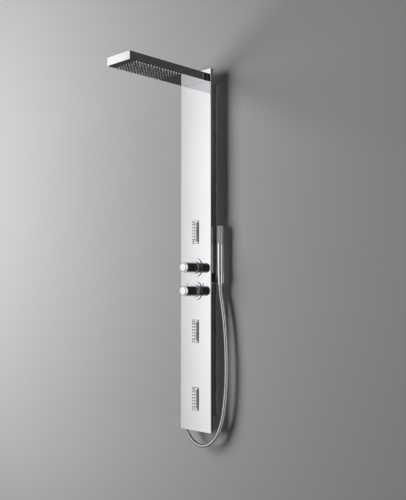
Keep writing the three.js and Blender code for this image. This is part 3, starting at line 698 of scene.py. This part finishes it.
def build_jets():
    """A polished frame in a dark seal, the proud tilting block with its nozzles, and the housing."""
    for number in JETS:
        node, body = f"jet_frame_{number}", f"jet_block_{number}"
        low, high = box_mm(node)
        z = (low.z + high.z) / 2
        inner, reach = JET_INNER - 0.4, JET_REACH - 0.2
        window = Shape().block(-inner, inner, low.y - 1, high.y + 1, z - reach, z + reach)
        piece(f"jet_frame_plate_{number}", carved(solid(node), window), "mirror_steel", [node], bevel=0.3)
        side, end = SEAL_MARGIN
        seal = Shape().block(low.x - side, high.x + side, -2.7, -0.05, low.z - end, high.z + end)
        hole = Shape().block(low.x - 0.05, high.x + 0.05, -3, 1, low.z - 0.05, high.z + 0.05)
        piece(f"jet_seal_{number}", carved(seal, hole), "grey_plastic", bevel=0.3, steps=2)

        node = f"jet_nozzle_block_{number}"
        low, high = box_mm(node)
        front, half, tall = low.y + NUB_PROUD, BLOCK_HALF, BLOCK_REACH
        face = Shape().block(-half, half, front, high.y, z - tall, z + tall)
        tall -= BLOCK_SHEET
        channel = Shape().block(-half - 1, half + 1, front + BLOCK_SHEET, high.y + 1, z - tall, z + tall)
        face = carved(face, channel)
        below, above = z - BLOCK_FILL, z + BLOCK_FILL
        core = Shape().block(0.1 - half, half - 0.1, front + 1.9, front + 4.8, below, above)
        carrier = Shape().block(0.4 - half, half - 0.4, front + 4.7, high.y, below, above)
        carrier = carved(carrier, Shape().bar(2.5, "x", (PIVOT_DEPTH, z), low.x, high.x, 24), "UNION")
        socket = [(0, front - 1), (3.9, front - 1), (2.9, front + 0.9), (0, front + 0.9)]
        nub = rounded([
            (0, front + 1.4), (2.5, front + 1.4), (2.5, front - 0.4, 0.3), (2.0, low.y, 0.5),
            (1.0, low.y, 0.2), (0.7, low.y + 1.4), (0, low.y + 1.4),
        ], steps=3)
        sockets, nubs = Shape(), Shape()
        for column in range(NUB_COLUMNS):
            for row in range(NUB_ROWS):
                x = (column - (NUB_COLUMNS - 1) / 2) * NUB_PITCH_X
                up = z + (row - (NUB_ROWS - 1) / 2) * NUB_PITCH_Z
                sockets.turned(socket, "y", (x, up), 32)
                nubs.turned(nub, "y", (x, up), 32)
        piece(f"jet_block_core_{number}", core, "nozzle_silicone", body=body)
        piece(f"jet_block_carrier_{number}", carrier, "grey_plastic", [node], body=body)
        piece(f"jet_block_face_{number}", carved(face, sockets), "jet_face", body=body, bevel=0.8)
        piece(f"jet_nubs_{number}", nubs, "grey_plastic", body=body)

        node = f"jet_housing_{number}"
        low, high = box_mm(node)
        back = HOUSING_BACK
        box = Shape().block(low.x, high.x, low.y, back, low.z, high.z)
        hollow = Shape().block(-JET_INNER, JET_INNER, low.y - 1, back - 3, z - JET_REACH, z + JET_REACH)
        hollow.bar(2.9, "x", (PIVOT_DEPTH, z), low.x - 1, high.x + 1, 24)
        box = carved(carved(box, hollow), Shape().bar(8, "y", (0, z), back - 1, high.y, 40), "UNION")
        for rib in HOUSING_RIBS:
            ridge = Shape().block(low.x, high.x, back - 0.1, back + 1.2, z + rib - 1, z + rib + 1)
            box = carved(box, ridge, "UNION")
        box = carved(box, Shape().bar(5, "y", (0, z), back - 4, high.y + 1, 32))
        piece(f"jet_housing_ribbed_{number}", box, "grey_plastic", [node], bevel=0.5, steps=2)


# ---- valves and knobs ----

VALVE_BORE = 14.6  # the radius inside wall rings and collars
KNOB_WALL = 3.0
CAP_RIM = 4.1  # the width of the knob's rim round its cap
CAP_CROWN, CAP_FACE = 0.5, 2.4  # the cap's domed front: its rise and its thickness


def build_valves():
    """Wall rings, collars, knobs with their caps, and the override button."""
    bore = VALVE_BORE
    for valve in VALVES:
        low, high, axis, outer = round_node(f"{valve}_wall_ring", "y")
        ring = [(bore, high.y), (outer, high.y, 0.2), (outer, low.y, 0.35), (bore, low.y)]
        piece(f"{valve}_ring", Shape().lathed(ring, "y", axis, 128, closed=True), "mirror_steel",
              [f"{valve}_wall_ring"])

        low, high, _, outer = round_node(f"{valve}_collar", "y")
        if valve == "temperature":
            front = [(outer, high.y - 2.5, 0.7), (26, high.y - 2.5, 0.4), (26, low.y, 1.0)]
        else:
            front = [(outer, low.y, 1.2)]
        collar = [(bore, high.y), (outer, high.y, 0.2), *front, (bore, low.y)]
        collar = Shape().lathed(collar, "y", axis, closed=True)
        piece(f"{valve}_collar_ring", collar, "chrome", [f"{valve}_collar"])

        body = f"{valve}_knob"
        low, high, _, radius = round_node(body, "y")
        floor, inside, mouth = low.y + 6, radius - KNOB_WALL, radius - CAP_RIM
        knob = Shape().lathed([
            (0, floor), (inside, floor, 1.0), (inside, high.y, 0.4), (radius, high.y, 0.5),
            (radius, low.y, 2.4), (mouth, low.y, 0.1), (mouth, low.y + 2), (0, low.y + 2),
        ], "y", axis, steps=6)
        if valve == "temperature":
            button = middle("override_button")
            hole = Shape().bar(2.9, "z", (button.x, button.y), axis[1] + 12, axis[1] + radius + 1, 32)
            knob = carved(knob, hole)
        piece(f"{valve}_knob_turned", knob, "chrome", [body], body=body)

        low, high, _, radius = round_node(f"{valve}_knob_cap", "y")
        crown, edge = CAP_CROWN, low.y + CAP_CROWN
        outline = rounded([(0, high.y), (radius, high.y, 0.2), (radius, edge, 1.8), (0, edge)], steps=8)
        dome = [(along, y - crown * (1 - (along / radius) ** 2) if y < high.y - 2 else y)
                for along, y in outline]
        front = [(along, min(y, low.y + CAP_FACE)) for along, y in dome[:-1]]
        flat = radius - 2.2
        crowned = [(flat * share, low.y + crown * (flat * share / radius) ** 2)
                   for share in np.linspace(0.9, 0, 8)]
        piece(f"{valve}_cap", Shape().turned(front + crowned, "y", axis), "jet_face",
              [f"{valve}_knob_cap"], body=body)
        behind = low.y + 2.3
        sleeve = [(0, behind), (radius, behind, 0.15), (radius, high.y, 0.2), (0, high.y)]
        piece(f"{valve}_cap_sleeve", Shape().lathed(sleeve, "y", axis), "nozzle_silicone", body=body)

    low, high, axis, _ = round_node("override_button", "z")
    pin = Shape().lathed([
        (0, low.z), (2.5, low.z), (2.5, low.z + 0.8), (4, low.z + 0.8, 0.2), (4, low.z + 2.4, 0.2),
        (2.5, low.z + 2.4), (2.5, high.z - 3.2, 0.1), (2.3, high.z - 3.0), (2.3, high.z - 2.6),
        (2.5, high.z - 2.4, 0.1), (2.5, high.z, 0.8), (0, high.z),
    ], "z", axis, 40)
    piece("override_pin", pin, "chrome", ["override_button"], body="override_button")


# ---- handset and its holder ----

HANDSET_BORE = 9  # the radius of the water way
NOZZLE_COLUMNS, NOZZLE_ROWS = (-4.6, 0, 4.6), 12


def build_handset():
    """A polished handle, a satin spray end with a strip of nozzles, and the hose cone."""
    bore = HANDSET_BORE
    low, high, axis, radius = round_node("handset_handle", "z")
    grip = [(bore, low.z), (radius, low.z, 0.6), (radius, high.z, 0.35), (bore, high.z)]
    piece("handset_grip", Shape().lathed(grip, "z", axis, closed=True), "chrome", ["handset_handle"],
          body="handset")

    low, high, _, radius = round_node("handset_spray_end", "z")
    outline = rounded([(bore, low.z), (radius, low.z, 0.35), (radius, high.z, 1.3), (0, high.z)])
    inside = rounded([(bore, low.z), (bore, high.z - 4), (0, high.z - 4)])
    tube = Shape().turned([*reversed(inside), *outline], "z", axis)
    front = axis[1] - radius
    window = Shape().drawn([
        (axis[1] - 3, low.z + 6), (front - 1, low.z + 6), (front - 1, high.z - 8), (axis[1] - 3, high.z - 8),
    ], "x", axis[0] - 8, axis[0] + 8)
    piece("handset_spray_tube", carved(tube, window), "satin_chrome", ["handset_spray_end"], body="handset",
          bevel=0.2, steps=2)

    low, high = box_mm("handset_spray_face")
    inner = radius - 0.3
    insert = Shape().bar(inner, "z", axis, low.z - 5, high.z + 5, 96)
    strip = Shape().block(low.x, high.x, front - 1, high.y, low.z, high.z)
    insert = carved(insert, strip, "INTERSECT")
    nubs = Shape()
    for x in NOZZLE_COLUMNS:
        for z in np.linspace(low.z + 4, high.z - 4, NOZZLE_ROWS):
            face = axis[1] - math.sqrt(inner**2 - x**2)
            nubs.lathed([
                (0, face + 0.4), (1.25, face + 0.4), (0.95, face - 0.75, 0.3), (0.4, face - 0.75),
                (0.3, face - 0.2), (0, face - 0.2),
            ], "y", (axis[0] + x, z), 16, steps=2)
    piece("handset_nozzle_strip", insert, "spray_face", ["handset_spray_face"], body="handset", bevel=0.3)
    piece("handset_nozzles", nubs, "nozzle_silicone", body="handset")

    low, high, _, wide = round_node("hose_cone_nut", "z")
    bore, shoulder = HOSE_RADIUS + 0.3, low.z + 9
    cone = Shape().lathed([
        (bore, low.z), (8.6, low.z, 0.4), (8.8, low.z + 2.2, 0.2), (8.3, low.z + 2.6), (8.3, low.z + 3.2),
        (8.8, low.z + 3.6, 0.2), (9.0, shoulder, 0.3), (wide, high.z, 0.5), (5, high.z), (5, shoulder + 6),
        (bore, shoulder + 6),
    ], "z", axis, 80, closed=True)
    piece("hose_cone_turned", cone, "chrome", ["hose_cone_nut"], body="hose_cone")


def build_holder():
    """A split cup on an arm from the rail, with its hidden screw."""
    low, high = box_mm("handset_holder")
    x, y = middle("handset_handle").x, middle("handset_handle").y
    radius = high.x - x
    cup = Shape().lathed([(0, low.z), (radius, low.z, 1.0), (radius, high.z, 1.0), (0, high.z)], "z", (x, y))
    bore = Shape().turned([
        (0, low.z - 1), (9.2, low.z - 1), (9.3, low.z), (11.2, high.z), (11.3, high.z + 1), (0, high.z + 1),
    ], "z", (x, y))
    slit = Shape().block(x - 7.75, x + 7.75, y - radius - 1, y, low.z - 1, high.z + 1)
    cup = carved(carved(cup, bore), slit)
    arm = Shape().drawn([
        (y - 10, low.z + 5, 3), (y + 10, low.z + 5, 3), (y + 10, high.z - 4, 3), (y - 10, high.z - 4, 3),
    ], "x", low.x, x - radius + 1.2)
    screw_low, screw_high = box_mm("holder_screw")
    z = (screw_low.z + screw_high.z) / 2
    arm = carved(arm, Shape().bar(2.6, "x", (y, z), low.x - 1, low.x + 13.7, 24))
    piece("handset_holder_cup", cup, "chrome", ["handset_holder"], bevel=0.5)
    piece("handset_holder_arm", arm, "grey_plastic", bevel=0.5)


def build_outlet():
    """The hose's nut and ferrule, behind the panel."""
    low, high, axis, _ = round_node("hose_outlet_nut", "z")
    nut = Shape().hexagon(16, "z", axis, low.z + 8, high.z)
    nut = carved(nut, Shape().bar(5, "z", axis, low.z, high.z + 1, 32))
    nut.lathed([
        (5, low.z), (8.3, low.z, 0.8), (8.3, low.z + 3), (7.7, low.z + 3.4), (7.7, low.z + 4.2),
        (8.3, low.z + 4.6), (8.3, low.z + 8), (5, low.z + 8),
    ], "z", axis, 48, closed=True, steps=3)
    piece("outlet_nut", nut, "chrome", ["hose_outlet_nut"])


# ---- water fittings behind the panel ----

def bend_through(points, radius):
    """Straight runs with a smooth bend of this radius at each corner."""
    points = [np.array(p, float) for p in points]
    row = [points[0]]
    for before, corner, after in zip(points, points[1:], points[2:]):
        back, on = before - corner, after - corner
        reach = min(radius, 0.45 * np.linalg.norm(back), 0.45 * np.linalg.norm(on))
        start, end = corner + back / np.linalg.norm(back) * reach, corner + on / np.linalg.norm(on) * reach
        for t in np.linspace(0, 1, 9):
            row.append((1 - t) ** 2 * start + 2 * t * (1 - t) * corner + t**2 * end)
    return [*row, points[-1]]


PIPE_DEPTH = 27.0  # from the panel's front to the pipes' middle
RISER_X, JET_PIPE_X = -30.0, 30.0
PIPE_RADIUS, BEND_RADIUS = 6, 9


def build_pipes():
    """Brass pipes with smooth bends, each screwed into the mixer through a compression nut."""
    mixer_low, mixer_high = box_mm("mixer_body")
    above, below = mixer_high.z + 0.3, mixer_low.z - 0.3
    left, right, depth = RISER_X, JET_PIPE_X, PIPE_DEPTH
    behind, spout = depth + 7, depth - 0.7
    jets = [middle(f"jet_housing_{number}").z for number in JETS]
    outlet = middle("hose_outlet_nut")

    def fitted(name, runs, nut, radius=PIPE_RADIUS):
        shape = Shape()
        for points in runs:
            row = bend_through(points, BEND_RADIUS)
            shape.tube(row, [radius] * len(row), 28)
        x, low, high = nut
        piece(f"{name}_fitted", shape.hexagon(19, "z", (x, depth), low, high), "brass", [name])

    def branch(jet):
        """From the pipe on the right to a jet's spout."""
        return [(right, depth, jet), (14, behind, jet), (0, behind, jet), (0, spout, jet)]

    riser = [(left, depth, above), (left, depth, box_mm("riser_pipe")[1].z)]
    fitted("riser_pipe", [riser], (left, above, above + 12), 8)
    fitted("jet_pipe_upper", [[(right, depth, above), *branch(jets[0])]], (right, above, above + 10))
    fitted("jet_pipe_lower", [[(right, depth, below), *branch(jets[2])], branch(jets[1])],
           (right, below - 10, below))
    fitted("handset_pipe", [[
        (left, depth, below), (left, depth, 56), (outlet.x, depth - 4, 56), (outlet.x, outlet.y, 54),
        (outlet.x, outlet.y, 47),
    ]], (left, below - 10, below))


def build_mixer():
    """The cast body with its port bosses, and the two wall unions."""
    low, high = box_mm("mixer_body")
    body = solid("mixer_body")
    for valve in VALVES:
        centre = middle(f"{valve}_cartridge")
        body = carved(body, Shape().bar(17, "y", (0, centre.z), low.y - 1, low.y + 14, 64))
    for name in INLETS:
        centre = middle(name)
        body = carved(body, Shape().bar(6, "y", (centre.x, centre.z), high.y - 10, high.y + 1, 32))
    piece("mixer_casting", body, "brass", ["mixer_body"], bevel=2.0, steps=4)
    for name in INLETS:
        low, high, axis, _ = round_node(name, "y")
        union = Shape().hexagon(24, "y", axis, low.y, low.y + 8)
        union = carved(union, Shape().bar(6, "y", axis, low.y - 1, low.y + 9, 40))
        thread = [(10.5, low.y + 8)]
        turn = low.y + 8.6
        while turn < high.y - 1.6:
            thread += [(10.5, turn), (9.9, turn + 0.4), (10.5, turn + 0.8)]
            turn += 0.8
        thread += [(10.5, high.y, 0.5), (6, high.y), (6, low.y + 8)]
        union.lathed(thread, "y", axis, 48, closed=True)
        piece(f"{name}_threaded", union, "brass", [name])


for build in (build_outlet, build_hose, build_panel, build_rails, build_wall_side, build_screws, build_head,
              build_jets, build_valves, build_handset, build_holder, build_pipes, build_mixer):
    build()


# ---- studio ----

FLOOR_DROP = 0.80  # metres from the panel's lower edge to the floor
ROOM = 12.0  # metres from the panel to the backdrops' ends
FLOOR_COLOUR, WALL_COLOUR = (0.48, 0.48, 0.475), (0.62, 0.62, 0.61)


def backdrop(name, corners, colour, see_through_behind=False):
    """A large plain surface that neither lights the object nor shows in its polish."""
    mesh = bpy.data.meshes.new(name)
    mesh.from_pydata(corners, [], [(0, 1, 2, 3)])
    f = Finish(name, colour, 0.0, 0.9)
    f.colour(f.mixed(f.span(f.noise(1.5, 2), 0, 1), colour, tuple(c * 0.985 for c in colour)))
    if see_through_behind:
        clear = f.node("ShaderNodeBsdfTransparent")
        behind = f.node("ShaderNodeNewGeometry").outputs["Backfacing"]
        mix = f.node("ShaderNodeMixShader", {0: behind, 1: f.shader.outputs[0], 2: clear.outputs[0]})
        f.tree.links.new(mix.outputs[0], f.tree.nodes["Material Output"].inputs[0])
    mesh.materials.append(f.material)
    made = shown(name, mesh)
    made.visible_glossy = made.visible_diffuse = made.visible_shadow = False


def lamp(name, kind, power, way, place=(0, 0, 0), **settings):
    """A light that shines one way and does not show in the polish."""
    data = bpy.data.lights.new(name, kind)
    data.energy = power
    for key, value in settings.items():
        setattr(data, key, value)
    light = shown(name, data)
    light.location = Vector(place)
    light.rotation_euler = Vector(way).to_track_quat("-Z", "Y").to_euler()
    light.visible_glossy = False


def area_light(name, place, size, power, aim):
    lamp(name, "AREA", power, Vector(aim) - Vector(place), place, shape="RECTANGLE", size=size[0],
         size_y=size[1], spread=math.radians(120))


def wide_light(name, strength, way, angle=20):
    """Parallel light, as from a lamp that looks this many degrees wide."""
    lamp(name, "SUN", strength, way, angle=math.radians(angle))


class Sky(Nodes):
    """The studio as the polished metal sees it: soft windows of light by direction, in degrees."""

    def __init__(self, camera_grey, fill):
        world = bpy.context.scene.world = bpy.data.worlds.new("studio")
        world.use_nodes = True
        world.cycles.sampling_method = "NONE"
        self.tree = world.node_tree
        self.tree.nodes.clear()
        direction = self.node("ShaderNodeTexCoord").outputs["Generated"]
        x, y, z = self.node("ShaderNodeSeparateXYZ", {0: direction}).outputs
        self.azimuth = self.maths("DEGREES", self.maths("ARCTAN2", x, self.maths("MULTIPLY", y, -1.0)))
        self.height = self.maths("DEGREES", self.maths("ARCSINE", z))
        self.round = self.maths("ABSOLUTE", self.azimuth)
        self.camera_grey, self.fill = camera_grey, fill
        self.total = 0.0

    def ease(self, value, start, end, low=0.0, high=1.0):
        return self.mapped(value, start, end, low, high, interpolation_type="SMOOTHSTEP")

    def window(self, strength, across, up, both_sides=False):
        """Light between (fade in, full, full, fade out) degrees of azimuth and of height."""
        angle = self.round if both_sides else self.azimuth
        for where, (a, b, c, d) in ((angle, across), (self.height, up)):
            for share in (self.ease(where, a, b), self.ease(where, c, d, 1, 0)):
                strength = self.maths("MULTIPLY", share, strength)
        self.total = self.maths("ADD", self.total, strength)

    def chosen(self, ray, otherwise, seen):
        """One value for a kind of ray and another for the rest."""
        return self.node("ShaderNodeMix", {"Factor": ray, "A": otherwise, "B": seen},
                         data_type="FLOAT").outputs[0]

    def finish(self):
        rays = self.node("ShaderNodeLightPath").outputs
        light = self.chosen(rays["Is Glossy Ray"], self.fill, self.total)
        light = self.chosen(rays["Is Camera Ray"], light, self.camera_grey)
        light = self.node("ShaderNodeBackground", {"Color": light, "Strength": 1.0})
        self.node("ShaderNodeOutputWorld", {"Surface": light.outputs[0]})


# Azimuth 0 is straight out from the wall and grows to the right; height 0 is level.
WINDOWS = [
    (0.02, (-400, -390, 390, 400), (-100, -95, 95, 100)),       # the dark room
    (0.56, (-62, -55, -2, 6), (-55, 4, 8, 55)),                 # the panel's front
    (0.58, (-48, -43, -3, 6), (-55, 4, 8, 55)),                 # brighter towards its right edge
    (0.62, (-62, -55, -51, -47.5), (-45, -8, 45, 62)),          # the front end of the rain head
    (0.85, (62, 71, 105, 115), (-45, -25, 40, 62)),             # lines down the handset and hose
    (0.45, (148, 157, 200, 210), (-24, -14, 12, 22), True),     # their edges, and views from behind
    (0.45, (100, 130, 200, 210), (58, 74, 95, 100), True),      # overhead, behind
    (0.7, (-10, -5, 140, 160), (58, 75, 95, 100), True),        # overhead
    (0.12, (-10, -5, 200, 210), (-100, -95, -55, -45), True),   # the floor
    (0.035, (122, 130, 142, 150), (6, 11, 24, 34)),             # the rain head's right side
    (0.5, (108, 116, 130, 137), (-60, -40, -27, -19)),          # satin metal seen from behind
    (0.03, (-150, -142, -130, -122), (-34, -24, -10, -4)),      # the rain head's underside
]
sky = Sky(camera_grey=0.5, fill=0.02)
for window in WINDOWS:
    sky.window(*window)
sky.finish()

floor_z, wall_y, ceiling_z = panel_low.z - FLOOR_DROP, cad_high.y, ROOM / 3
backdrop("studio_floor", [
    (-ROOM, -ROOM, floor_z), (ROOM, -ROOM, floor_z), (ROOM, ROOM, floor_z), (-ROOM, ROOM, floor_z),
], FLOOR_COLOUR)
backdrop("studio_wall", [
    (-ROOM, wall_y, floor_z), (ROOM, wall_y, floor_z), (ROOM, wall_y, ceiling_z), (-ROOM, wall_y, ceiling_z),
], WALL_COLOUR, see_through_behind=True)

area_light("key_light", (-3.0, -2.1, -0.15), (1.75, 3.4), 66, (0.0, 0.0, -0.3))
area_light("back_light", (-1.2, 2.6, 1.2), (2.2, 2.2), 90, (0.0, 0.0, -0.6))
wide_light("overhead", 2.2, (0, -0.42, -0.91))
wide_light("under_light", 5.0, (0, -0.42, 0.91))
wide_light("side_light", 3.2, (-1, 0.015, -0.12), 3)

scene = bpy.context.scene
scene.view_settings.view_transform = "Standard"
scene.view_settings.look = "None"
